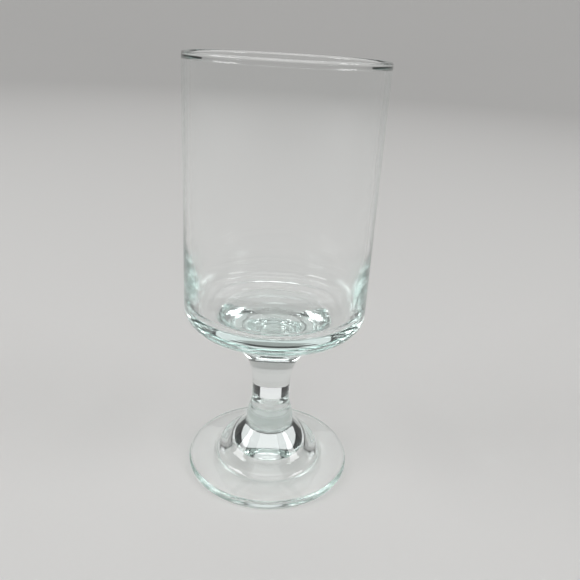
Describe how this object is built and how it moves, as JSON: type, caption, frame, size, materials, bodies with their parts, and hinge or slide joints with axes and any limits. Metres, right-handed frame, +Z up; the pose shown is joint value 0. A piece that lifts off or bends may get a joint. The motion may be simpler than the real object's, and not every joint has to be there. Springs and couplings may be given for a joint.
{
  "type": "water goblet",
  "caption": "Clear glass water goblet with a straight-sided bowl, a short solid stem and a domed foot. It holds a drink and stands on a ring under its foot.",
  "frame": {"origin": "centre of the resting ring under the foot, on the surface that the goblet stands on", "axes": "+Z up along the axis of the bowl, stem and foot. The goblet is round, so +X and +Y are any two directions across it"},
  "size_m": [0.071, 0.071, 0.165],
  "materials": {
    "clear_glass": "fire-polished, clear, with a faint grey-green tint where it is thick"
  },
  "bodies": {
    "root": {"bowl": "clear_glass", "stem": "clear_glass", "foot": "clear_glass"}
  },
  "joints": []
}
